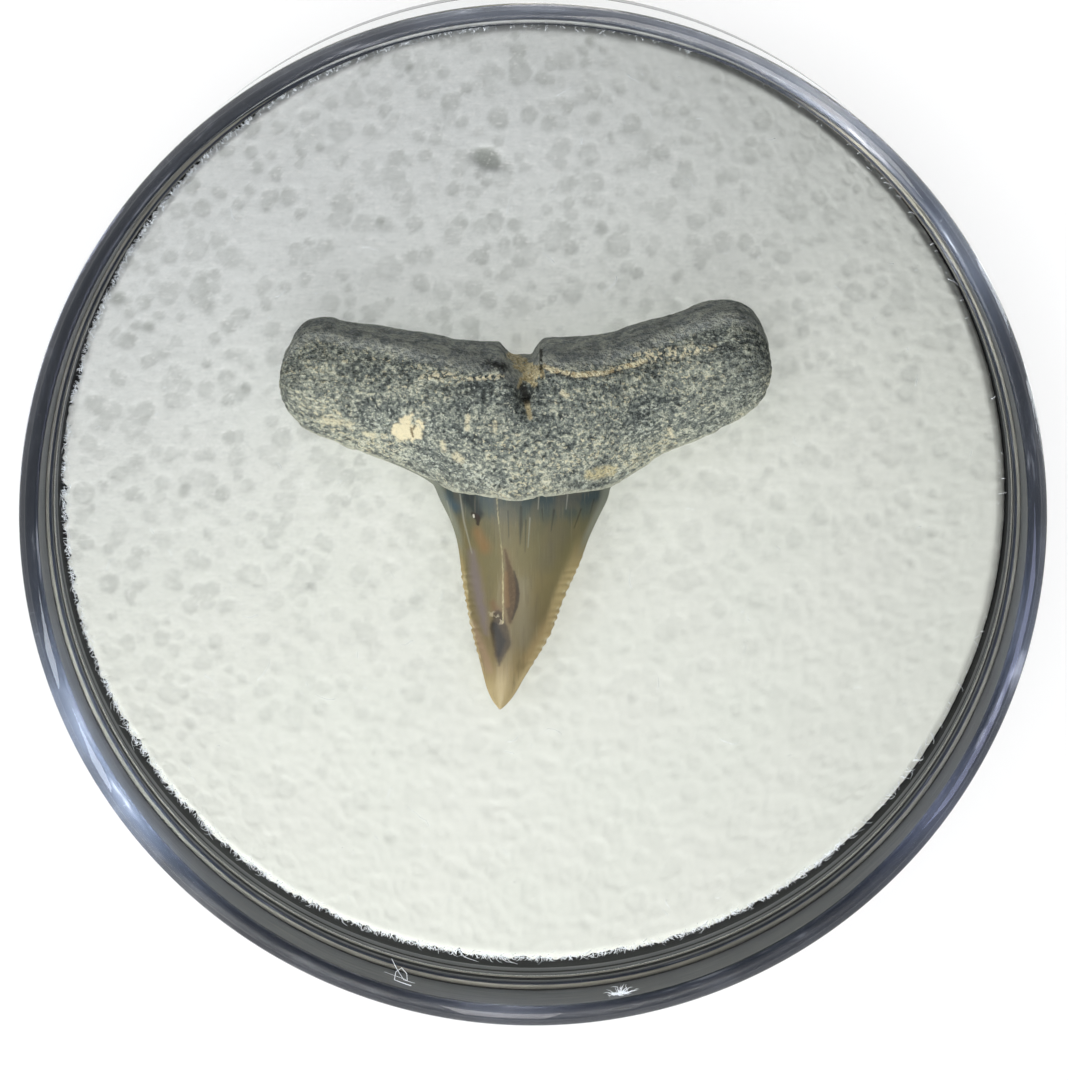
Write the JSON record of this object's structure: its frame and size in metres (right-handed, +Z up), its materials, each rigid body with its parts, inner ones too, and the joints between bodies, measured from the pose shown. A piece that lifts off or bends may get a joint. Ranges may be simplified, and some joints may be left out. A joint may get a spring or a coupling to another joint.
{
  "type": "fossil shark tooth",
  "caption": "Fossil lemon shark tooth with a narrow finely notched crown and a broad arched root, lying on a foam pad in a small round display jar with a clear lid.",
  "frame": {"origin": "centre of the jar's underside", "axes": "+Z up along the jar's axis; +X along the root of the tooth, towards its longer, higher lobe; the crown points to -Y; the lingual side of the tooth is up"},
  "size_m": [0.0318, 0.0318, 0.0159],
  "materials": {
    "fossil": "matt granular root, glossy enamel crown",
    "foam": "white open-cell foam, matt",
    "black_plastic": "gloss black",
    "clear_plastic": "clear polished plastic"
  },
  "bodies": {
    "root": {"fossil_tooth": "fossil", "foam_pad": "foam", "jar_base": "black_plastic", "jar_lid": "clear_plastic"}
  },
  "joints": []
}
